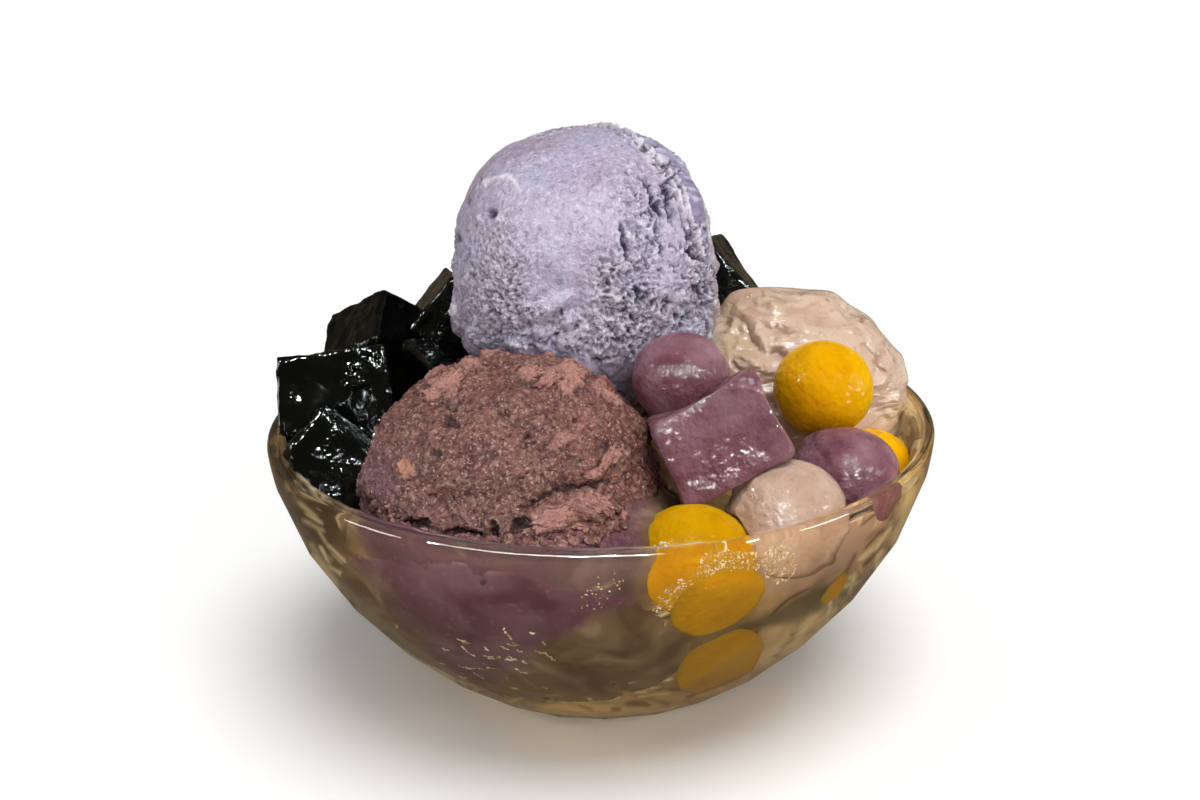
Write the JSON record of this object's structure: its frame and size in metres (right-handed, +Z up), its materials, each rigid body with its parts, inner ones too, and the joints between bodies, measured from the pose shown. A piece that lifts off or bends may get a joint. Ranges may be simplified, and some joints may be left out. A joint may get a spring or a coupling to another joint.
{
  "type": "bowl of grass jelly dessert",
  "caption": "Faceted glass bowl heaped with shaved ice, grass jelly cubes, taro mash and paste, chewy yam balls and a scoop of lavender ice cream.",
  "frame": {"origin": "middle of the bowl's foot, on the surface it stands on", "axes": "+Z up, -Y towards the side with the coarse mash, +X towards the side with the balls"},
  "size_m": [0.16, 0.16, 0.1341],
  "materials": {
    "pressed_glass": "clear pressed glass, fire polished, with shallow facets outside",
    "syrup_ice": "shaved ice soaked in brown syrup",
    "taro_mash_smooth": "moist smooth purple taro mash",
    "taro_mash_coarse": "coarse grainy red-brown taro mash",
    "taro_paste": "pale smeared taro paste, moist",
    "taro_ice_cream": "lavender ice cream, torn by the scoop",
    "purple_dough": "boiled chewy dough, wet",
    "yellow_dough": "boiled chewy dough, wet",
    "cream_dough": "boiled chewy dough, wet",
    "grass_jelly": "black grass jelly, cut by knife, wet"
  },
  "bodies": {
    "root": {"glass_bowl": "pressed_glass", "shaved_ice_base": "syrup_ice", "taro_mash_bed": "taro_mash_smooth", "taro_mash_scoop": "taro_mash_coarse", "taro_paste_scoop": "taro_paste", "ice_cream_scoop": "taro_ice_cream", "purple_ball_1": "purple_dough", "purple_ball_2": "purple_dough", "purple_block": "purple_dough", "cream_ball": "cream_dough", "yellow_ball_1": "yellow_dough", "yellow_ball_2": "yellow_dough", "yellow_ball_3": "yellow_dough", "yellow_ball_4": "yellow_dough", "yellow_ball_5": "yellow_dough", "yellow_ball_6": "yellow_dough", "jelly_cube_1": "grass_jelly", "jelly_cube_2": "grass_jelly", "jelly_cube_3": "grass_jelly", "jelly_cube_4": "grass_jelly", "jelly_cube_5": "grass_jelly", "jelly_cube_6": "grass_jelly", "jelly_cube_7": "grass_jelly", "jelly_cube_8": "grass_jelly", "jelly_cube_9": "grass_jelly", "jelly_cube_10": "grass_jelly", "jelly_cube_11": "grass_jelly", "jelly_cube_12": "grass_jelly", "jelly_cube_13": "grass_jelly"}
  },
  "joints": []
}
